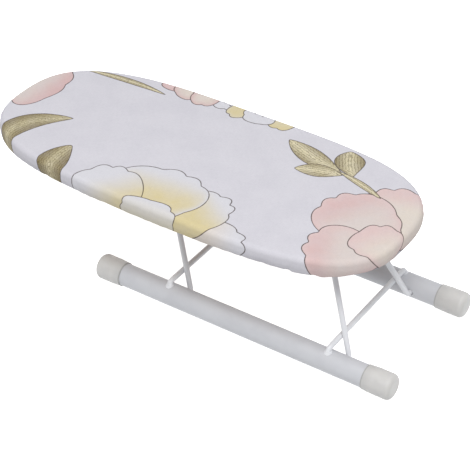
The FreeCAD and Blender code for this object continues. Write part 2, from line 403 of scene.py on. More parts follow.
@dataclass(frozen=True)
class PrintedCotton:
    """Plain-weave cotton with a dyed print, read from the cloth's own points.

    "lay" is the point of the flat cloth. Each layer k of the print has "fill_k", its dye, "rim_k", the signed
    distance in millimetres to its outline, and "leaf_k", 1 in a leaf. "rib" is the distance to a leaf's rib
    and "stamen" the distance to a stamen.
    """

    name: str = "printed_cotton"
    ground: Colour = dye(212, 210, 216)
    ground_shade: Colour = dye(204, 202, 209)
    ink: Colour = dye(72, 60, 56)
    hatched: Colour = dye(96, 82, 54)
    stippled: Colour = dye(88, 74, 48)
    glint: Colour = dye(224, 215, 178)
    threads_per_m: float = 2400.0
    line_half_mm: float = 0.45
    hatch_per_mm: float = 2.0
    layers: int = 5

    def weave(self, g: Graph, lay: Socket) -> Socket:
        """Over-and-under height of an uneven weave.

        The cloth's coordinates are multiplied by a noise colour before the waves are taken, so the threads
        are bent and unevenly spaced, and threads_per_m is not the count that shows.

        Args:
            g: The graph.
            lay: The flat cloth's coordinates.

        Returns:
            The height: the product of the warp's wave and the weft's wave.
        """
        drift = g.node("TexNoise", {"Vector": lay, "Scale": 220.0}).outputs["Color"]
        warped = g.node("VectorMath", {0: lay, 1: drift, 2: (0.0004, 0.0004, 0.0)}, operation="MULTIPLY_ADD")
        apart = g.node("SeparateXYZ", {0: warped.outputs[0]})
        turn = math.pi * self.threads_per_m
        warp = g.maths("SINE", g.maths("MULTIPLY", apart.outputs[0], turn))
        weft = g.maths("SINE", g.maths("MULTIPLY", apart.outputs[1], turn))
        return g.maths("MULTIPLY", warp, weft)

    def leaf_fill(self, g: Graph, fill: Socket, lay: Socket) -> Socket:
        """The leaf dye with wavering hatching that runs beside the rib, stipple and light flecks.

        Args:
            g: The graph.
            fill: The plain dye.
            lay: The flat cloth's coordinates.

        Returns:
            The worked colour.
        """
        rib = g.read("rib")
        wobble = g.noise(lay, 320.0, 2.0)
        phase = g.maths("MULTIPLY_ADD", wobble, 9.0, g.maths("MULTIPLY", rib, self.hatch_per_mm))
        hatch = g.ramp(g.maths("SINE", phase), 0.3, 1.0, 0.0, 0.6)
        stipple = g.ramp(g.noise(lay, 1500.0, 2.0, 0.6), 0.48, 0.66, 0.0, 0.5)
        worked = g.blend(hatch, fill, self.hatched)
        worked = g.blend(stipple, worked, self.stippled)
        glints = g.ramp(g.noise(lay, 1100.0, 2.0, 0.6), 0.54, 0.7, 0.0, 0.45)
        return g.blend(glints, worked, self.glint)

    def layered(self, g: Graph, lay: Socket, ground: Socket) -> tuple[Socket, Socket, Socket]:
        """Lay the print's layers over the ground, the lowest first.

        A layer hides what is under it inside its outline, dyes it, and draws its own line on the outline.

        Args:
            g: The graph.
            lay: The flat cloth's coordinates.
            ground: The undyed cloth's colour.

        Returns:
            The dyed colour, how much of it is leaf, and the drawn line's strength.
        """
        bleed = g.maths("MULTIPLY_ADD", g.noise(lay, 700.0, 2.0), 0.5, -0.25)
        width = g.maths("MULTIPLY_ADD", g.noise(lay, 150.0, 2.0), 0.4, self.line_half_mm - 0.2)
        colour, leaf, line = ground, None, None
        for layer in range(self.layers):
            rim = g.maths("ADD", g.read(f"rim_{layer}"), bleed)
            inside = g.ramp(rim, -0.15, 0.15, 1.0, 0.0)
            colour = g.blend(inside, colour, g.read(f"fill_{layer}", "Color"))
            own_leaf = g.maths("MULTIPLY", inside, g.read(f"leaf_{layer}"))
            own_line = g.ramp(g.maths("SUBTRACT", g.maths("ABSOLUTE", rim), width), -0.2, 0.3, 1.0, 0.0)
            if leaf is None:
                leaf, line = own_leaf, own_line
                continue
            outside = g.maths("SUBTRACT", 1.0, inside)
            leaf = g.maths("MULTIPLY_ADD", leaf, outside, own_leaf)
            line = g.maths("MAXIMUM", g.maths("MULTIPLY", line, outside), own_line)
        return colour, leaf, line

    def material(self) -> bpy.types.Material:
        """The cloth as a node material: ground, fills, hatching, ink lines, weave and slubs.

        Returns:
            The material.
        """
        g = Graph(self.name)
        lay = g.read("lay", "Vector")
        slub = g.noise(g.stretch(lay, (1.0, 0.12, 1.0)), 1500.0, 3.0, 0.6)
        weft_slub = g.noise(g.stretch(lay, (0.12, 1.0, 1.0)), 1500.0, 3.0, 0.6)
        cloud = g.noise(lay, 26.0, 3.0, 0.5)
        ground = g.blend(g.ramp(cloud, 0.35, 0.7, 0.0, 0.5), self.ground, self.ground_shade)
        dyed, leaf, line = self.layered(g, lay, ground)
        dyed = g.blend(g.ramp(g.noise(lay, 75.0, 3.0), 0.35, 0.7, 0.0, 0.12), dyed, self.ground)
        cloth = g.blend(leaf, dyed, self.leaf_fill(g, dyed, lay))
        cloth = g.blend(g.ramp(g.read("stamen"), 0.9, 1.8, 0.8, 0.0), cloth, self.ink)
        faded = g.maths("MULTIPLY", line, g.ramp(leaf, 0.2, 0.9, 0.92, 0.7))
        cloth = g.blend(faded, cloth, self.ink)
        yarn = g.ramp(g.maths("ADD", slub, weft_slub), 0.8, 1.25, 0.0, 0.16)
        cloth = g.blend(yarn, cloth, self.ground_shade, mode="MULTIPLY")
        rough = g.maths("MULTIPLY_ADD", slub, 0.14, 0.78)
        normal = g.bump(g.noise(g.stretch(lay, (0.3, 1.0, 1.0)), 55.0, 4.0, 0.55), 0.22, 0.0016)
        normal = g.bump(g.noise(lay, 120.0, 3.0, 0.6), 0.12, 0.0012, normal)
        normal = g.bump(g.maths("ADD", slub, weft_slub), 0.22, 0.0002, normal)
        normal = g.bump(self.weave(g, lay), 0.18, 0.00012, normal)
        return g.close(cloth, rough, normal, Sheen_Weight=0.08, Sheen_Roughness=0.5, Specular_IOR_Level=0.2)


# ---------------------------------------------------------------------------
# The print
# ---------------------------------------------------------------------------


@dataclass(frozen=True)
class PetalShape:
    """A plain scalloped petal that opens from its heart; sizes in millimetres, angles in radians.

    Round the angle u, 0 at the tip, the plain petal is length * (1 + cos u) / 2 along its aim and
    width * 0.6 * sin u * |cos(u / 2)|^0.6 across. Its broad end is pushed out from its middle by
    depth * (|sin(lobes * v / 2 + turn)| - 0.6) * |cos(u / 2)|^1.5, where v = u + 0.25 sin(3u + turn).
    """

    heart: Place
    aim: float
    length: float
    width: float
    lobes: int = 9
    turn: float = 0.0
    depth: float = 5.0

    def along(self, share: float) -> Array:
        """The place a share of the way from the heart to the tip."""
        return np.array(self.heart) + share * self.length * np.array([math.cos(self.aim), math.sin(self.aim)])

    def line(self, count: int = 181) -> Array:
        """The closed outline as points, the first one repeated at the end.

        Args:
            count: How many points.

        Returns:
            The points in millimetres, one a row.
        """
        u = np.linspace(0.0, 2 * np.pi, count)
        broad = np.abs(np.cos(u / 2))
        plain = np.stack([self.length * (1 + np.cos(u)) / 2, self.width * 0.6 * np.sin(u) * broad**0.6], 1)
        out = plain - np.array([0.55 * self.length, 0.0])
        out /= np.linalg.norm(out, axis=1, keepdims=True)
        scallop = np.abs(np.sin(self.lobes * (u + 0.25 * np.sin(3 * u + self.turn)) / 2 + self.turn)) - 0.6
        plain += out * (self.depth * scallop * broad**1.5)[:, None]
        c, s = math.cos(self.aim), math.sin(self.aim)
        return np.array(self.heart) + plain @ np.array([[c, s], [-s, c]])


@dataclass(frozen=True)
class LeafShape:
    """A plain pointed leaf on a bowed midrib, in millimetres.

    The midrib is the run from base to tip plus its left-hand normal times bow * 4t(1 - t). The blade
    reaches half_width * sin(pi * t^swell)^0.8 to each side, so swell over 1 is fullest near the tip.
    """

    base: Place
    tip: Place
    bow: float
    half_width: float
    swell: float = 1.0

    def rib(self, count: int = 48) -> Array:
        """The midrib as points from the base to the tip.

        Args:
            count: How many points.

        Returns:
            The points in millimetres, one a row.
        """
        t = np.linspace(0.0, 1.0, count)[:, None]
        run = np.array(self.tip) - np.array(self.base)
        normal = np.array([-run[1], run[0]]) / np.hypot(*run)
        return np.array(self.base) + run * t + normal * self.bow * 4 * t * (1 - t)

    def line(self) -> Array:
        """The closed outline: up one side of the midrib and down the other.

        Returns:
            The points in millimetres, one a row.
        """
        rib = self.rib()
        along = np.gradient(rib, axis=0)
        side = np.stack([-along[:, 1], along[:, 0]], 1) / np.linalg.norm(along, axis=1, keepdims=True)
        t = np.linspace(0.0, 1.0, len(rib))
        reach = (self.half_width * np.clip(np.sin(np.pi * t**self.swell), 0, 1) ** 0.8)[:, None]
        return np.vstack([rib + side * reach, (rib - side * reach)[::-1], rib[:1]])


def distance_to_line(places: Array, line: Array) -> Array:
    """How far each place is from a line: the least distance to any of its stretches.

    Args:
        places: Points, one a row.
        line: The line's points, one a row.

    Returns:
        One distance a place.
    """
    start, along = line[:-1], np.diff(line, axis=0)
    length_sq = np.maximum((along**2).sum(1), 1e-12)
    offset = places[:, None, :] - start[None]
    share = np.clip((offset * along).sum(2) / length_sq, 0.0, 1.0)
    gap = offset - share[..., None] * along
    return np.sqrt((gap**2).sum(2).min(1))


def inside_line(places: Array, line: Array) -> Array:
    """True where a place is inside a closed line: a ray along +X crosses it an odd number of times.

    Args:
        places: Points, one a row.
        line: The closed line's points, the first one repeated at the end.

    Returns:
        True or False for each place.
    """
    x, y = places[:, :1], places[:, 1:]
    x0, y0 = line[:-1, 0], line[:-1, 1]
    x1, y1 = line[1:, 0], line[1:, 1]
    spans = (y0 > y) != (y1 > y)
    rise = np.where(np.abs(y1 - y0) < 1e-12, 1e-12, y1 - y0)
    return ((spans & (x < x0 + (y - y0) / rise * (x1 - x0))).sum(1) % 2).astype(bool)


@dataclass(frozen=True)
class Motif:
    """One printed petal or leaf and its dyes.

    layer is its depth in the print, 0 the lowest; shapes of one layer never touch. A petal fades from
    near, at the first share of its fade towards the tip, to far, at the second; blush is the dye along the
    rim, fading in over blush_mm. A leaf fades from near, at its midrib, to far over spread millimetres.
    """

    layer: int
    shape: PetalShape | LeafShape
    near: Colour
    far: Colour
    fade: tuple[float, float] = (1.0, 0.4)
    blush: Colour | None = None
    blush_mm: float = 9.0
    spread: float = 5.0

    @property
    def family(self) -> Family:
        """Whether this is a petal or a leaf."""
        return Family.LEAF if isinstance(self.shape, LeafShape) else Family.PETAL

    def fill(self, places: Array, depth: Array, rib_gap: Array) -> Array:
        """The dye at each place.

        Petal: near to far by a smooth step along the fade, then the blush by exp(-depth / blush_mm).
        Leaf: near to far by 1 - exp(-(rib gap / spread)^1.4).

        Args:
            places: Points, one a row.
            depth: How far inside the outline each is.
            rib_gap: How far from the midrib each is.

        Returns:
            One linear colour a row.
        """
        if self.family is Family.LEAF:
            share = 1 - np.exp(-((rib_gap / self.spread) ** 1.4))
        else:
            start, end = (self.shape.along(part) for part in self.fade)
            share = np.clip((places - start) @ (end - start) / ((end - start) @ (end - start)), 0, 1)
            share = share * share * (3 - 2 * share)
        colour = np.array(self.near) + (np.array(self.far) - np.array(self.near)) * share[:, None]
        if self.blush is None:
            return colour
        rim = np.exp(-np.maximum(depth, 0) / self.blush_mm)[:, None]
        return colour + (np.array(self.blush) - colour) * rim


@dataclass
class FloralPrint:
    """Blossoms, a bud spray and leaves placed one by one, each drawn by the petal or the leaf formula."""

    pink: Colour = dye(218, 193, 190)
    rose: Colour = dye(211, 179, 177)
    cream: Colour = dye(219, 209, 198)
    dusk: Colour = dye(214, 203, 197)
    white: Colour = dye(214, 213, 218)
    butter: Colour = dye(214, 200, 155)
    pale_butter: Colour = dye(214, 207, 186)
    olive: Colour = dye(134, 120, 85)
    straw: Colour = dye(229, 219, 184)
    moss: Colour = dye(212, 201, 164)
    reach_mm: float = 7.0
    clear_mm: float = 12.0
    layers: int = 5
    stamens: tuple[Place, ...] = ((-60.0, 102.0), (-52.0, 100.0), (-20.0, 102.0), (-10.0, 101.0))
    motifs: list[Motif] = field(default_factory=list)

    def __post_init__(self) -> None:
        """Draw every motif."""
        self.motifs += self.leaves() + self.small_blossoms() + self.yellow_blossom() + self.pink_blossom()
        self.motifs += self.bud_spray()

    def leaf(self, layer: int, base: Place, tip: Place, bow: float, half_width: float, spread: float,
             pale: Colour | None = None, swell: float = 1.0) -> Motif:
        """A leaf that darkens away from its midrib; pale is the midrib's dye, straw unless given."""
        shape = LeafShape(base, tip, bow, half_width, swell)
        return Motif(layer, shape, pale or self.straw, self.olive, spread=spread)

    def petal(self, layer: int, heart: Place, aim: float, size: Place, lobes: int, dyes: tuple[Colour, Colour],
              fade: Place = (1.0, 0.4), blush: Colour | None = None, blush_mm: float = 6.0,
              depth: float = 5.0) -> Motif:
        """A petal of size (length, width) aimed at an angle in degrees; its scallops turn with its place.

        Args:
            layer: Its layer, 0 the lowest.
            heart: Where it opens from.
            aim: Where it points, in degrees.
            size: Its length and width in millimetres.
            lobes: How many scallops.
            dyes: The dyes that it fades between.
            fade: Where along it the fade starts and ends.
            blush: The dye of its rim, if it has one.
            blush_mm: How fast the blush dies away inwards.
            depth: The depth of the scallops in millimetres.

        Returns:
            The motif.
        """
        turn = 0.7 * layer + heart[0] / 40
        shape = PetalShape(heart, math.radians(aim), *size, lobes, turn, depth)
        return Motif(layer, shape, *dyes, fade=fade, blush=blush, blush_mm=blush_mm)

    def leaves(self) -> list[Motif]:
        """The two bowed leaves and the pink petal at the nose, and the long leaf by the rear edge.

        Returns:
            The motifs.
        """
        return [
            self.petal(0, (-288, 20), 0, (62, 92), 7, (self.rose, self.dusk), (1.0, 0.45), self.rose, 4.0, 3.0),
            self.leaf(0, (-202, -120), (-178, -16), 31, 15, 7.5, self.moss, 1.1),
            self.leaf(0, (-126, -142), (-147, -58), 9, 17, 7.0, self.moss, 1.25),
            self.leaf(0, (-124, 79), (-230, 73), -4, 4.6, 3.4),
        ]

    def small_blossoms(self) -> list[Motif]:
        """The row of small blossoms along the rear edge.

        Returns:
            The motifs.
        """
        blush, creams, whites = (self.rose, 5.0, 3.0), (self.cream, self.cream), (self.white, self.white)
        butters, plain = (self.butter, self.pale_butter), (1.0, 0.4)
        return [
            self.petal(0, (-125, 132), -96, (44, 26), 5, (self.pink, self.pink), plain, self.rose, 4.0, 3.0),
            self.petal(0, (9, 130), -80, (42, 32), 5, butters, plain, depth=3.0),
            self.petal(1, (-108, 130), -87, (47, 34), 5, creams, plain, *blush),
            self.petal(1, (-58, 131), -92, (42, 36), 5, whites, plain, depth=3.0),
            self.petal(2, (-84, 130), -90, (48, 34), 5, creams, plain, *blush),
            self.petal(2, (-38, 132), -90, (42, 20), 3, (self.pale_butter, self.white), plain, depth=2.0),
            self.petal(3, (-37, 118), -90, (36, 26), 5, (self.butter, self.butter), plain, self.pale_butter,
                       2.0, 3.0),
            self.petal(4, (-13, 130), -90, (47, 38), 5, whites, plain, depth=3.0),
        ]

    def yellow_blossom(self) -> list[Motif]:
        """The large white and butter-yellow blossom at the front edge.

        Returns:
            The motifs.
        """
        white, butter = self.white, self.butter
        return [
            self.petal(0, (-16, -138), 17, (120, 60), 9, (white, self.cream), (0.95, 0.6)),
            self.petal(1, (-8, -142), 58, (108, 64), 9, (white, butter), (0.95, 0.6)),
            self.petal(2, (-18, -130), 96, (94, 104), 9, (white, butter), (0.95, 0.45), white, 5.0),
            self.petal(3, (-22, -142), 141, (104, 78), 9, (white, butter), (0.85, 0.3)),
            self.petal(4, (-14, -146), 92, (56, 66), 7, (white, self.pale_butter), (1.0, 0.4), depth=4.0),
        ]

    def pink_blossom(self) -> list[Motif]:
        """The large pink blossom at the right end.

        Returns:
            The motifs.
        """
        rose, pink, cream, dusk = self.rose, self.pink, self.cream, self.dusk
        return [
            self.petal(0, (222, -30), 112, (102, 84), 9, (pink, cream), (0.95, 0.6), pink, 5.0),
            self.petal(1, (226, -34), 153, (106, 84), 9, (rose, dusk), (0.95, 0.5), pink, 9.0),
            self.petal(2, (228, -42), 203, (84, 82), 9, (rose, dusk), (0.95, 0.5), pink, 9.0),
            self.petal(3, (238, -44), 152, (62, 56), 7, (pink, cream), (0.95, 0.3), pink, 5.0, 4.0),
        ]

    def bud_spray(self) -> list[Motif]:
        """The stem, two leaves and round bud above the pink blossom.

        Returns:
            The motifs.
        """
        return [
            self.leaf(0, (120, 53), (38, 79), 3, 13, 11.0, swell=1.15),
            self.leaf(1, (119, 52), (71, 36), -2, 11, 10.0, swell=1.1),
            self.leaf(1, (130, 55), (104, 95), 2, 16, 10.0, swell=1.3),
            self.leaf(2, (172, 38), (112, 56), -2, 4.2, 5.0, swell=0.9),
        ]

    def paint(self, places: Array) -> dict[str, Array]:
        """Work out the print at every point of the flat cloth, layer by layer.

        In a layer, each place takes the dye of the shape it is in or nearest to, and the signed distance to
        that shape's outline, negative inside. The signed distance crosses zero smoothly, so the shader can
        draw the sharp edge and the inked line between points.

        Args:
            places: Points of the flat cloth in millimetres, one a row.

        Returns:
            For each layer k, "fill_k" (linear colour), "rim_k" (millimetres) and "leaf_k" (0 or 1); "rib",
            the distance to the rib of the topmost leaf; and "stamen", the distance to the nearest stamen.
        """
        count = len(places)
        values: dict[str, Array] = {}
        rib = np.full(count, 2 * self.reach_mm)
        for layer in range(self.layers):
            fill = np.tile(np.array(self.white), (count, 1))
            rim = np.full(count, self.reach_mm)
            leaf = np.zeros(count)
            for motif in (shape for shape in self.motifs if shape.layer == layer):
                line = motif.shape.line()
                low, high = line.min(0) - self.reach_mm, line.max(0) + self.reach_mm
                near = np.flatnonzero(((places > low) & (places < high)).all(1))
                if not len(near):
                    continue
                here = places[near]
                gap = distance_to_line(here, line)
                signed = np.where(inside_line(here, line), -gap, gap)
                own = signed < rim[near]
                taken, here, signed = near[own], here[own], signed[own]
                leafy = motif.family is Family.LEAF
                rib_gap = distance_to_line(here, motif.shape.rib()) if leafy else np.full(len(here), self.clear_mm)
                fill[taken] = motif.fill(here, -signed, rib_gap)
                rim[taken] = np.clip(signed, -self.reach_mm, self.reach_mm)
                leaf[taken] = float(leafy)
                if leafy:
                    rib[taken] = rib_gap
            values.update({f"fill_{layer}": fill, f"rim_{layer}": rim, f"leaf_{layer}": leaf})
        spots = np.array(self.stamens)
        gap = np.sqrt(((places[:, None, :] - spots[None]) ** 2).sum(2)).min(1)
        return {**values, "rib": rib, "stamen": np.minimum(gap, self.reach_mm)}


# ---------------------------------------------------------------------------
# Shapes
# ---------------------------------------------------------------------------


@dataclass(frozen=True)
class BoardOutline:
    """The board's rounded oblong in plan, in millimetres.

    |2x / length|^end_power + |2y / width|^side_power = 1, widened a little towards +X by taper. Each ease
    (x, y, spread, push) moves the outline out by push near (x, y), fading by a bell curve of that spread.
    """

    centre_x: float = -18.5
    length: float = 485.0
    width: float = 210.5
    taper: float = 0.017
    end_power: float = 3.49
    side_power: float = 2.89
    eases: tuple[tuple[float, float, float, float], ...] = ()

    def spaced(self, count: int) -> tuple[Array, Array]:
        """Points spaced evenly round the outline.

        Args:
            count: How many points.

        Returns:
            The points and the outward normals, one a row.
        """
        turn = np.linspace(0.0, 2 * np.pi, 8001)
        c, s = np.cos(turn), np.sin(turn)
        x = np.sign(c) * np.abs(c) ** (2 / self.end_power)
        y = np.sign(s) * np.abs(s) ** (2 / self.side_power)
        curve = np.stack([self.centre_x + self.length / 2 * x, self.width / 2 * y * (1 + self.taper * x)], 1)
        run = np.concatenate([[0.0], np.cumsum(np.hypot(*np.diff(curve, axis=0).T))])
        at = np.linspace(0.0, run[-1], count, endpoint=False)
        points = np.stack([np.interp(at, run, curve[:, k]) for k in (0, 1)], 1)
        along = np.roll(points, -1, axis=0) - np.roll(points, 1, axis=0)
        normals = np.stack([along[:, 1], -along[:, 0]], 1)
        normals /= np.linalg.norm(normals, axis=1, keepdims=True)
        if self.eases:
            x, y, spread, push = np.array(self.eases).T
            far = np.hypot(points[:, :1] - x, points[:, 1:] - y)
            points = points + normals * (push * np.exp(-((far / spread) ** 2))).sum(1, keepdims=True)
        return points, normals


def waves(turn: Array, seed: int, lowest: int, highest: int) -> Array:
    """A smooth closed wobble round an outline: a seeded sum of whole-number waves, about -1 to 1.

    Args:
        turn: Angles round the outline.
        seed: The seed of the waves' sizes and phases.
        lowest: The fewest waves in a turn.
        highest: The most waves in a turn.

    Returns:
        The wobble at each angle.
    """
    random = np.random.default_rng(seed)
    count = np.arange(lowest, highest + 1)
    size = random.normal(size=len(count))
    phase = random.uniform(0, 2 * np.pi, len(count))
    total = (size * np.sin(turn[..., None] * count + phase)).sum(-1)
    return total / np.sqrt((size**2).sum()) / 1.3


def enclosed(points: Array, faces: list[Array]) -> float:
    """The volume inside closed faces, negative where they point inwards.

    Each face is fanned into triangles from its first corner a; the volume is the sum of a . (b x c) / 6.

    Args:
        points: The points, one a row.
        faces: Rows of point numbers, one array for each number of corners.

    Returns:
        The signed volume.
    """
    total = 0.0
    for face in faces:
        corners = points[face]
        for k in range(1, face.shape[1] - 1):
            total += (corners[:, 0] * np.cross(corners[:, k], corners[:, k + 1])).sum() / 6
    return float(total)


def mesh_from_rings(name: str, rings: Array, poles: tuple[Array, Array] | None,
                    wrap: bool = False) -> bpy.types.Object:
    """Skin a stack of closed rings with quads.

    Args:
        name: The piece's name.
        rings: Points as rings x around x 3, in metres.
        poles: The points that close the first and the last ring, or None to leave them.
        wrap: True to join the last ring to the first, as in a tube bent into a loop.

    Returns:
        The piece's object, smooth shaded, its faces turned to point outwards.
    """
    count, around = rings.shape[:2]
    index = np.arange(count * around).reshape(count, around)
    if wrap:
        index = np.vstack([index, index[:1]])
    a, b = index[:-1], index[1:]
    quads = np.stack([a, np.roll(a, -1, 1), np.roll(b, -1, 1), b], -1).reshape(-1, 4)
    points = rings.reshape(-1, 3)
    faces = [quads]
    if poles is not None:
        points = np.vstack([points, poles[0], poles[1]])
        first, last = len(points) - 2, len(points) - 1
        start = np.stack([np.full(around, first), np.roll(index[0], -1), index[0]], -1)
        end = np.stack([np.full(around, last), index[-1], np.roll(index[-1], -1)], -1)
        faces += [start, end]
    if enclosed(points, faces) < 0:
        faces = [face[:, ::-1] for face in faces]
    return mesh_object(name, points, faces)


def mesh_object(name: str, points: Array, faces: list[Array]) -> bpy.types.Object:
    """A smooth-shaded object from points and blocks of faces.

    Args:
        name: The piece's name.
        points: Points in metres, one a row.
        faces: Blocks of point numbers, each block with one count of corners.

    Returns:
        The object, linked to the scene.
    """
    mesh = bpy.data.meshes.new(name)
    corners = np.concatenate([block.ravel() for block in faces])
    sizes = np.concatenate([np.full(len(block), block.shape[1]) for block in faces])
    starts = np.concatenate([[0], np.cumsum(sizes)[:-1]])
    mesh.vertices.add(len(points))
    mesh.vertices.foreach_set("co", np.ascontiguousarray(points, dtype=np.float32).ravel())
    mesh.loops.add(len(corners))
    mesh.loops.foreach_set("vertex_index", corners.astype(np.int32))
    mesh.polygons.add(len(sizes))
    mesh.polygons.foreach_set("loop_start", starts.astype(np.int32))
    mesh.polygons.foreach_set("use_smooth", np.ones(len(sizes), dtype=bool))
    mesh.update(calc_edges=True)
    mesh.validate()
    made = bpy.data.objects.new(name, mesh)
    bpy.context.scene.collection.objects.link(made)
    return made


def store(piece: bpy.types.Object, name: str, values: Array) -> None:
    """Keep a value, a vector or a colour on each point of a piece's mesh.

    Args:
        piece: The piece.
        name: The attribute's name.
        values: One number or one row of three a point.
    """
    if values.ndim == 1:
        layer = piece.data.attributes.new(name, "FLOAT", "POINT")
        layer.data.foreach_set("value", values.astype(np.float32))
        return
    layer = piece.data.attributes.new(name, "FLOAT_VECTOR", "POINT")
    layer.data.foreach_set("vector", np.ascontiguousarray(values, dtype=np.float32).ravel())


def store_run(piece: bpy.types.Object, run: Array) -> None:
    """Give a piece the UV map "run" from one (along, round) pair a point.

    Args:
        piece: The piece.
        run: One pair a point.
    """
    layer = piece.data.uv_layers.new(name="run")
    corner = np.empty(len(piece.data.loops), dtype=np.int32)
    piece.data.loops.foreach_get("vertex_index", corner)
    layer.data.foreach_set("uv", run[corner].astype(np.float32).ravel())


def tube(path: Array, radius: Array, sides: int) -> Array:
    """Rings of a round tube along a looped path in the plane of the board.

    Ring k is path[k] + radius * (cos a * side + sin a * up), side lying in plan across the path.

    Args:
        path: Points in metres, one a row.
        radius: The tube's radius at each point.
        sides: Points round the tube.

    Returns:
        Rings x sides x 3.
    """
    along = np.roll(path, -1, axis=0) - np.roll(path, 1, axis=0)
    side = np.stack([along[:, 1], -along[:, 0], np.zeros(len(path))], 1)
    side /= np.linalg.norm(side, axis=1, keepdims=True)
    turn = np.linspace(0, 2 * np.pi, sides, endpoint=False)[None, :, None]
    size = radius[:, None, None]
    return path[:, None, :] + size * (np.cos(turn) * side[:, None, :] + np.sin(turn) * np.array([0.0, 0.0, 1.0]))


def dress_nodes(names: tuple[str, ...], material: bpy.types.Material) -> None:
    """Give carried-over nodes one finish, by name."""
    for name in names:
        dress(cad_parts[name], material)


def dress(piece: bpy.types.Object, material: bpy.types.Material) -> None:
    """Give every material slot of a piece one finish.

    Args:
        piece: The object.
        material: Its finish.
    """
    if not piece.data.materials:
        piece.data.materials.append(material)
    for number in range(len(piece.material_slots)):
        piece.material_slots[number].material = material


# ---------------------------------------------------------------------------
# Sub-assemblies
# ---------------------------------------------------------------------------


@dataclass
class Base:
    """The rails, their end caps, the brace wires and the weld beads."""

    tube_coat: PowderCoat = PowderCoat("tube_powder_coat", dye(206, 207, 211), dye(194, 195, 200))
    wire_coat: PowderCoat = PowderCoat("wire_powder_coat", *WIRE_PAINT, 0.32, 1900.0)
    milky: tuple[Colour, Colour] = (dye(211, 209, 206), dye(196, 195, 192))
    rails: tuple[str, ...] = ("front_rail", "rear_rail")
    caps: tuple[str, ...] = ("front_left_cap", "front_right_cap", "rear_left_cap", "rear_right_cap")
    wires: tuple[str, ...] = ("left_brace", "right_brace", "brace_welds")

    def build(self) -> None:
        """Dress every node of the base."""
        dress_nodes(self.rails, self.tube_coat.material())
        dress_nodes(self.wires, self.wire_coat.material())
        for name in self.caps:
            low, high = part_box(name)
            middle = (Vector(low) + Vector(high)) / 2
            mouth = high[0] if middle.x < 0 else low[0]
            plastic = MilkyPlastic("milky_" + name, *self.milky, middle.y, middle.z, mouth)
            dress(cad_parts[name], plastic.material())
        LOG.info("base: %d nodes dressed", len(self.rails) + len(self.caps) + len(self.wires))


@dataclass
class Legs:
    """The two bent wire frames and the clips on their feet."""

    coat: PowderCoat = PowderCoat("leg_powder_coat", *WIRE_PAINT, 0.32, 1900.0)
    clip: PlatedSteel = PlatedSteel("spring_steel", dye(96, 96, 100), dye(58, 58, 62), 0.4)
    frames: tuple[str, ...] = ("left_leg_frame", "right_leg_frame")
    clips: tuple[str, ...] = ("left_foot_clips", "right_foot_clips")

    def build(self) -> None:
        """Dress the frames and the clips."""
        dress_nodes(self.frames, self.coat.material())
        dress_nodes(self.clips, self.clip.material())
        LOG.info("legs: %d nodes dressed", len(self.frames) + len(self.clips))


@dataclass
class Underside:
    """The fibreboard panel with its saddles and screws."""

    plate: PlatedSteel = PlatedSteel("zinc_plate", dye(206, 208, 212), dye(168, 170, 176))
    screw: PlatedSteel = PlatedSteel("screw_zinc", dye(214, 212, 200), dye(160, 160, 156), 0.3)
    board: Fibreboard = Fibreboard()
    saddles: tuple[str, ...] = ("left_front_saddle", "left_rear_saddle", "right_front_saddle", "right_rear_saddle")

    def build(self) -> None:
        """Dress the panel, the saddles and the screws."""
        dress_nodes(self.saddles, self.plate.material())
        dress_nodes(("saddle_screws",), self.screw.material())
        dress_nodes(("board_panel",), self.board.material())
        LOG.info("underside: panel, %d saddles and the screws dressed", len(self.saddles))


@dataclass
class CoverProfile:
    """The cover's section from the middle of the top, over the edge and round to the hem, in millimetres."""

    top_z: float
    panel_z: float
    edge_r: float = 6.2
    crown: float = 0.7
    foot_r: float = 2.2
    drop: float = 1.3
    hem: float = 18.4
    channel_r: float = 2.25
    cord_inset: float = 21.55
    top_rings: int = 94
    edge_rings: int = 8
    side_rings: int = 5
    foot_rings: int = 5
    hem_rings: int = 11
    channel_rings: int = 12

    def section(self) -> tuple[Array, Array]:
        """The section beyond the flat top.

        A quarter ellipse of radius edge_r, a side that swells by a shallow sine, a quarter circle of
        radius foot_r, a straight run in under the panel, and most of a circle round the cord.

        Returns:
            (inset from the outline, height) pairs, and each one's share of "being hem", 0 to 1.
        """
        low = self.panel_z - self.drop
        turn = np.linspace(0, np.pi / 2, self.edge_rings + 1)
        edge = np.stack([self.edge_r * (1 - np.sin(turn)), self.top_z - self.edge_r * (1 - np.cos(turn))], 1)
        t = np.linspace(0, 1, self.side_rings + 2)[1:-1]
        side_top, side_foot = self.top_z - self.edge_r, low + self.foot_r
        side = np.stack([-0.5 * np.sin(np.pi * t), side_top + (side_foot - side_top) * t], 1)
        turn = np.linspace(0, np.pi / 2, self.foot_rings + 1)
        foot = np.stack([self.foot_r * (1 - np.cos(turn)), low + self.foot_r * (1 - np.sin(turn))], 1)
        t = np.linspace(0, 1, self.hem_rings + 1)[1:]
        hem = np.stack([self.foot_r + (self.hem - self.foot_r) * t, np.full(len(t), low)], 1)
        cord_z = self.panel_z - 1.55
        turn = np.radians(np.linspace(172, 372, self.channel_rings))
        channel = np.array([self.cord_inset, cord_z]) + self.channel_r * np.stack([np.cos(turn), np.sin(turn)], 1)
        section = np.vstack([edge, side, foot, hem, channel])
        hem_share = np.clip((section[:, 0] - 1.0) / (self.hem - 1.0), 0, 1)
        hem_share[: self.edge_rings + self.side_rings + 1] = 0.0
        return section, hem_share


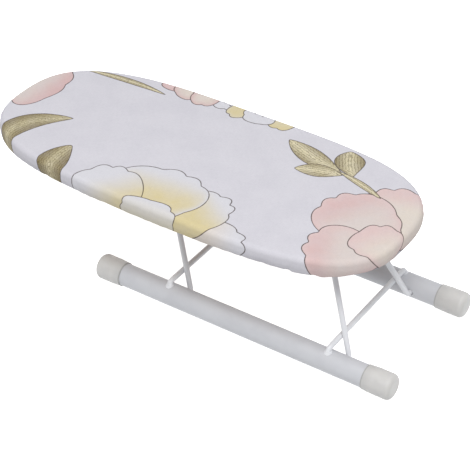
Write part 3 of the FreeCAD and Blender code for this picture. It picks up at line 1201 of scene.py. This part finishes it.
@dataclass
class Cover:
    """The printed cotton cover: one closed skin of cloth with a gathered hem round the cord."""

    outline: BoardOutline
    profile: CoverProfile
    design: FloralPrint
    cloth: PrintedCotton = PrintedCotton()
    around: int = 560
    thickness: float = 0.45
    top_step: int = 6
    side_step: int = 3
    brace_x: float = -176.0
    brace_room: float = 17.0
    pressed_z: float = 122.0
    loose_z: float = 119.4
    stitch_inset: float = 16.6
    sags: tuple[tuple[float, float, float], ...] = (
        (170, 22, 2.9), (148, 6, 1.2), (161, 6, -0.7), (-226, 26, 0.8), (-20, 70, 1.2))
    creases: tuple[tuple[float, float, float, float], ...] = (
        (146.0, 6.0, 3.2, 1.1), (171.0, 5.0, 3.6, 0.8), (119.0, 4.0, 4.0, 0.5), (-150.0, 5.0, 4.0, 0.5))
    flat_cut: tuple[float, float] = (0.262, 0.536)
    flat_area: float = 0.118

    def relief(self, turn: Array, places: Array, share: Array, hem: Array) -> Array:
        """How far each point moves down and out from the plain section.

        The hem's gathers are short waves round the outline that grow towards the cord. The front edge sags in
        places, each (x, spread, depth) a bell curve along it, with a few soft pleats, and patches of small
        tucks run round the whole side. Each crease (x, lean, spread, depth) pulls the front in along a leaning line.

        Args:
            turn: Angle round the outline, one a column.
            places: The outline's points, one a column.
            share: 0 on the flat top to 1 at the foot of the side, one a row.
            hem: 0 outside the hem to 1 at the cord, one a row.

        Returns:
            (down, out) in millimetres, as rings x around x 2.
        """
        gathers = np.abs(waves(turn, 5, 70, 120)) * 1.5 + np.abs(waves(turn, 9, 30, 52)) * 0.9
        soft = waves(turn, 3, 16, 34)
        front = places[:, 1] < 0
        sag = sum(depth * np.exp(-(((places[:, 0] - x) / spread) ** 2)) for x, spread, depth in self.sags) * front
        pleats = np.sin(turn * 62 + 2.0 * waves(turn, 21, 3, 9))
        tucks = np.sin(turn * 104 + 3.0 * waves(turn, 33, 3, 12)) * np.clip(waves(turn, 41, 6, 14) + 0.35, 0, 1)
        rise = np.clip((share - 0.3) / 0.7, 0, 1) ** 1.6
        down = rise[:, None] * (sag + 0.3 * soft + 0.14 * sag * pleats + 0.22 * tucks)
        down = down + (hem**1.2)[:, None] * (gathers - 0.9 * sag * (hem[:, None] > 0))
        out = np.sin(np.pi * np.clip(share, 0, 1))[:, None] * (0.12 * soft + 0.14 * sag * pleats + 0.26 * tucks)
        for x, lean, spread, depth in self.creases:
            across = (places[:, 0] - x)[None] - lean * (1 - share[:, None])
            groove = depth * np.exp(-((across / spread) ** 2)) * front * rise[:, None]
            out, down = out - groove, down - 0.9 * groove
        return np.stack([down, out], -1)

    def skin(self) -> tuple[Array, Array]:
        """The cover's outer skin.

        The flat top is the inset outline scaled from the middle, with a crown of crown * (1 - s^2)^1.5 and
        slow ripples of the padding; the section carries on from it square to the outline. Where the folded
        brace comes to lie, the hem is pressed flat: nothing hangs below pressed_z.

        Returns:
            The skin and the flat cloth under it, each as rings x around x 3, in millimetres.
        """
        points, normals = self.outline.spaced(self.around)
        turn = np.linspace(0, 2 * np.pi, self.around, endpoint=False)
        section, hem = self.profile.section()
        start = points - normals * self.profile.edge_r
        middle = np.array([self.outline.centre_x, 0.0])
        s = (np.arange(1, self.profile.top_rings + 1) / (self.profile.top_rings + 1))[:, None, None]
        flat = middle + s * (start - middle)
        rise = self.profile.crown * (1 - s[..., 0] ** 2) ** 1.5
        ripple = 0.28 * np.sin(flat[..., 0] / 21 + 1.3 * np.sin(flat[..., 1] / 27)) * np.sin(flat[..., 1] / 19 + 0.7)
        ripple = ripple * (1 - s[..., 0] ** 6)
        top = np.concatenate([flat, (self.profile.top_z + rise + ripple)[..., None]], -1)
        share = np.clip((self.profile.top_z - section[:, 1]) / (self.profile.top_z - self.profile.panel_z), 0, 1)
        relief = self.relief(turn, points, share, hem)
        outward = -section[:, 0][:, None, None] + relief[..., 1:]
        plan = points + normals * outward
        pressed = np.exp(-(((points[:, 0] - self.brace_x) / self.brace_room) ** 4))
        lowest = self.loose_z + (self.pressed_z - self.loose_z) * pressed
        height = np.maximum(section[:, 1][:, None] - relief[..., 0], lowest)
        edge = np.concatenate([plan, height[..., None]], -1)
        travel = np.concatenate([[0.0], np.cumsum(np.hypot(*np.diff(section, axis=0).T))])
        lay = start + normals * travel[:, None, None]
        lay = np.concatenate([np.vstack([flat, lay]), np.zeros((len(flat) + len(lay), self.around, 1))], -1)
        return np.vstack([top, edge]), lay

    def stitch_line(self) -> Array:
        """The line on the hem's underside that the stitches follow, a closed ring of points in millimetres.

        Returns:
            The points, one a row.
        """
        section, _ = self.profile.section()
        last = len(section) - self.profile.channel_rings
        hem = np.arange(last - self.profile.hem_rings, last)
        nearest = hem[np.argmin(np.abs(section[hem, 0] - self.stitch_inset))]
        return self.skin()[0][self.profile.top_rings + nearest]

    def build(self) -> bpy.types.Object:
        """Make the cover, print it and dress it.

        Returns:
            The cover's object.
        """
        skin, lay = self.skin()
        across = np.gradient(skin, axis=0)
        along = np.roll(skin, -1, axis=1) - np.roll(skin, 1, axis=1)
        normal = np.cross(across, along)
        normal /= np.maximum(np.linalg.norm(normal, axis=2, keepdims=True), 1e-9)
        coarse = np.arange(0, len(skin), self.top_step)
        fine = np.arange(self.profile.top_rings, len(skin), self.side_step)
        rings = np.unique(np.concatenate([coarse, fine, [len(skin) - 1]]))[::-1]
        lining = (skin - normal * self.thickness)[rings]
        body = np.vstack([skin, lining])
        laid = np.vstack([lay, lay[rings]])
        top = np.array([[self.outline.centre_x, 0.0, self.profile.top_z + self.profile.crown]])
        poles = (top * MM, (top - [[0, 0, self.thickness]]) * MM)
        piece = mesh_from_rings("cotton_cover_cloth", body * MM, poles)
        flat = np.vstack([laid.reshape(-1, 3), top * [1, 1, 0], top * [1, 1, 0]])
        store(piece, "lay", flat * MM)
        for name, values in self.design.paint(flat[:, :2]).items():
            store(piece, name, values)
        dress(piece, self.cloth.material())
        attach(piece, Body.BOARD.value)
        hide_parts("cotton_cover")
        LOG.info("cover: %d points, %d motifs", len(piece.data.vertices), len(self.design.motifs))
        return piece


@dataclass
class HemTrim:
    """The cord in the hem and the run of stitches beside it."""

    outline: BoardOutline
    panel_z: float
    cord_r: float = 1.5
    cord_inset: float = 21.55
    cord_around: int = 520
    cord_sides: int = 14
    stitch_length: float = 2.7
    stitch_gap: float = 1.1
    stitch_r: float = 0.28
    stitch_rings: int = 7
    stitch_sides: int = 6
    strand_step: float = 0.001
    cord_finish: Thread = Thread("braided_elastic", dye(236, 235, 230), dye(196, 195, 190), 260.0)
    stitch_finish: Thread = Thread("sewing_thread", dye(232, 231, 236), dye(196, 195, 203), 900.0)

    def cord(self) -> bpy.types.Object:
        """The elastic cord: a loop whose thickness swells a little between gathers.

        Returns:
            The cord's object.
        """
        points, normals = self.outline.spaced(self.cord_around)
        plan = points - normals * self.cord_inset
        turn = np.linspace(0, 2 * np.pi, len(plan), endpoint=False)
        path = np.column_stack([plan, np.full(len(plan), self.panel_z - self.cord_r - 0.06)]) * MM
        size = (self.cord_r - 0.04 - 0.05 * np.abs(waves(turn, 5, 70, 120))) * MM
        rings = tube(path, size, self.cord_sides)
        piece = mesh_from_rings("hem_elastic_cord", rings, None, wrap=True)
        along = np.repeat(np.arange(len(path)) / len(path), self.cord_sides)
        round_cord = np.tile(np.arange(self.cord_sides) / self.cord_sides, len(path))
        store_run(piece, np.stack([along, round_cord * 0.01], 1))
        dress(piece, self.cord_finish.material())
        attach(piece, Body.BOARD.value)
        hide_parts("hem_elastic")
        LOG.info("hem cord: %d points", len(piece.data.vertices))
        return piece

    def stitches(self, line: Array) -> bpy.types.Object:
        """The stitches along the hem, each a short bowed thread.

        A stitch is a tube of radius r * sqrt(1 - 0.96 t^8) whose middle stands proud of the cloth and whose
        ends dip into it, t running from -1 to 1 along it.

        Args:
            line: The ring of points on the hem that the stitches follow, in millimetres.

        Returns:
            The stitches' object.
        """
        closed = np.vstack([line, line[:1]])
        run = np.concatenate([[0.0], np.cumsum(np.linalg.norm(np.diff(closed, axis=0), axis=1))])
        count = int(run[-1] / (self.stitch_length + self.stitch_gap))
        starts = np.arange(count) * run[-1] / count
        t = np.linspace(-1, 1, self.stitch_rings)
        at = (starts[:, None] + (t + 1) / 2 * self.stitch_length) % run[-1]
        x, y, z = (np.interp(at, run, closed[:, k]) for k in (0, 1, 2))
        height = z + 0.22 - 0.5 * np.sqrt(np.clip(1 - t**2, 0, None))
        path = np.stack([x, y, height], -1)
        along = np.gradient(path, axis=1)
        side = np.stack([along[..., 1], -along[..., 0], np.zeros_like(x)], -1)
        side /= np.linalg.norm(side, axis=-1, keepdims=True)
        size = self.stitch_r * np.sqrt(np.clip(1 - 0.96 * t**8, 0, None))[None, :, None, None]
        turn = np.linspace(0, 2 * np.pi, self.stitch_sides, endpoint=False)[None, None, :, None]
        around = np.cos(turn) * side[:, :, None, :] + np.sin(turn) * np.array([0, 0, 1.0])
        rings = path[:, :, None, :] + size * around
        index = np.arange(rings.size // 3).reshape(rings.shape[:3])
        a, b = index[:, :-1], index[:, 1:]
        quads = np.stack([a, np.roll(a, -1, 2), np.roll(b, -1, 2), b], -1).reshape(-1, 4)
        ends = np.vstack([index[:, 0, ::-1], index[:, -1]])
        piece = mesh_object("hem_stitching", rings.reshape(-1, 3) * MM, [quads[:, ::-1], ends[:, ::-1]])
        strand = np.arange(self.stitch_sides)[None, None, :] * self.strand_step
        pair = np.stack(np.broadcast_arrays(at[:, :, None] * MM, strand), -1)
        store_run(piece, pair.reshape(-1, 2))
        dress(piece, self.stitch_finish.material())
        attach(piece, Body.BOARD.value)
        LOG.info("stitching: %d stitches", count)
        return piece


@dataclass
class Pads:
    """The foam pad and the felt over it, each a closed soft slab in the shape of the board."""

    outline: BoardOutline
    foam: Padding = Padding("open_cell_foam", dye(238, 233, 214), dye(206, 199, 176), 1500.0)
    felt: Padding = Padding("needle_felt", dye(232, 232, 228), dye(200, 200, 196), 900.0)
    around: int = 300
    slack: float = 0.1
    hollow: float = 0.12

    def slab(self, name: str, inset: float, low: float, high: float, edge: float, swell: float) -> bpy.types.Object:
        """A closed slab whose side swells and whose upper edge is rounded.

        Rings run from the middle of the underside out, up the side by a half sine of size swell, round a
        quarter circle of radius edge, and back in over the top.

        Args:
            name: The piece's name.
            inset: How far inside the board's outline it ends.
            low: The underside's height.
            high: The top's height.
            edge: The upper edge's radius.
            swell: How far the side swells.

        Returns:
            The slab's object.
        """
        points, normals = self.outline.spaced(self.around)
        middle = np.array([self.outline.centre_x, 0.0])
        spread = np.linspace(0.08, 0.97, 16)
        t = np.linspace(0, 1, 6)
        turn = np.linspace(0, np.pi / 2, 7)[1:]
        inward = np.concatenate([inset + swell * (1 - np.sin(np.pi * t)), inset + swell + edge * (1 - np.cos(turn))])
        height = np.concatenate([low + (high - edge - low) * t, high - edge * (1 - np.sin(turn))])
        side = points - normals * inward[:, None, None]
        under = middle + spread[:, None, None] * (side[0] - middle)
        over = middle + spread[::-1, None, None] * (side[-1] - middle)
        soft = self.hollow * np.sin(over[..., 0] / 17) * np.sin(over[..., 1] / 15)
        rings = np.vstack([
            np.concatenate([under, np.full((*under.shape[:2], 1), low)], -1),
            np.concatenate([side, np.broadcast_to(height[:, None, None], (*side.shape[:2], 1))], -1),
            np.concatenate([over, (high + soft - self.hollow)[..., None]], -1),
        ])
        poles = (np.array([[*middle, low]]) * MM, np.array([[*middle, high - self.hollow]]) * MM)
        return mesh_from_rings(name, rings[::-1] * MM, poles[::-1])

    def build(self) -> None:
        """Make both layers between the panel and the cover."""
        layers = (("foam_pad_soft", "foam_pad", "foam", self.foam, (1.6, 2.0, 0.4)),
                  ("felt_sheet", "felt_layer", "felt", self.felt, (3.2, 1.4, 0.2)))
        for name, node, slot, finish, (inset, edge, swell) in layers:
            low, high = (corner.z / MM for corner in map(Vector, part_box(node)))
            piece = self.slab(name, inset, low, high - self.slack, edge, swell)
            dress(piece, finish.material())
            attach(piece, Body.BOARD.value)
            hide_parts(node)
        LOG.info("pads: foam and felt")


@dataclass
class Studio:
    """A pale floor, soft lights and the camera."""

    azimuth: float = 33.65
    elevation: float = 36.63
    distance: float = 1.8432
    aim: tuple[float, float, float] = (-0.0022, 0.0348, 0.0249)
    lens: float = 128.9
    floor_half: float = 40.0
    floor_z: float = -0.0002
    floor_glow: float = 0.86
    sky: Colour = (0.97, 0.98, 1.0)
    sky_strength: float = 0.56
    lamps: tuple[tuple[str, tuple[float, float, float], float, float], ...] = (
        ("key", (0.95, -0.95, 2.2), 0.9, 28.0),
        ("fill", (-1.5, -1.5, 1.4), 1.2, 4.0),
        ("top", (-0.2, -0.3, 2.4), 1.4, 8.0))

    def floor(self) -> None:
        """A wide pale floor with a fine matte tooth, which doesn't tint the object with its bounce."""
        half = self.floor_half
        corners = np.array([[x * half, y * half, self.floor_z] for x, y in ((-1, -1), (1, -1), (1, 1), (-1, 1))])
        piece = mesh_object("studio_floor", corners, [np.array([[0, 1, 2, 3]])])
        g = Graph("studio_floor")
        tooth = g.noise(g.place(), 300.0, 2.0)
        base = g.blend(g.ramp(tooth, 0.3, 0.7), dye(250, 250, 250), dye(252, 252, 252))
        dress(piece, g.close(base, 0.9, None, Specular_IOR_Level=0.1, Emission_Color=(1.0, 1.0, 1.0, 1.0),
                             Emission_Strength=self.floor_glow))
        piece.visible_diffuse = False

    def lamp(self, name: str, place: tuple[float, float, float], size: float, power: float) -> None:
        """A square soft light that faces the object.

        Args:
            name: The lamp's name.
            place: Where it stands, in metres.
            size: The length of its side.
            power: Its power in watts.
        """
        data = bpy.data.lights.new(name, "AREA")
        data.shape = "SQUARE"
        data.size = size
        data.energy = power
        lamp = bpy.data.objects.new(name, data)
        lamp.location = place
        lamp.rotation_mode = "QUATERNION"
        lamp.rotation_quaternion = (Vector(place) - Vector((0, 0, 0.08))).to_track_quat("Z", "Y")
        bpy.context.scene.collection.objects.link(lamp)

    def build(self) -> None:
        """Set the floor, the lights, the surroundings and the camera."""
        self.floor()
        for lamp in self.lamps:
            self.lamp(*lamp)
        world = bpy.data.worlds.new("studio")
        world.use_nodes = True
        surroundings = world.node_tree.nodes["Background"].inputs
        surroundings["Color"].default_value = (*self.sky, 1.0)
        surroundings["Strength"].default_value = self.sky_strength
        bpy.context.scene.world = world
        bpy.context.scene.view_settings.view_transform = "Standard"
        self.camera()
        LOG.info("studio: floor, lights and camera")

    def camera(self) -> None:
        """The camera on its sphere round the aim point."""
        around, up = math.radians(self.azimuth), math.radians(self.elevation)
        back = Vector((math.sin(around) * math.cos(up), -math.cos(around) * math.cos(up), math.sin(up)))
        data = bpy.data.cameras.new("camera")
        data.sensor_width = 36.0
        data.lens = self.lens
        data.clip_start, data.clip_end = 0.05, 120.0
        eye = bpy.data.objects.new("camera", data)
        eye.location = Vector(self.aim) + back * self.distance
        eye.rotation_mode = "QUATERNION"
        eye.rotation_quaternion = back.to_track_quat("Z", "Y")
        bpy.context.scene.collection.objects.link(eye)
        bpy.context.scene.camera = eye


def main() -> None:
    """Build and dress the whole ironing board, then set the studio."""
    logging.basicConfig(level=logging.INFO, format="%(name)s %(message)s")
    top = Vector(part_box("cotton_cover")[1]).z / MM
    panel = Vector(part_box("board_panel")[0]).z / MM
    outline = BoardOutline()
    dressed = BoardOutline(eases=CLOTH_EASES)
    Base().build()
    Legs().build()
    Underside().build()
    Pads(outline).build()
    trim = HemTrim(dressed, panel)
    trim.cord()
    cover = Cover(dressed, CoverProfile(top, panel), FloralPrint())
    trim.stitches(cover.stitch_line())
    cover.build()
    Studio().build()


if __name__ == "__main__":
    main()
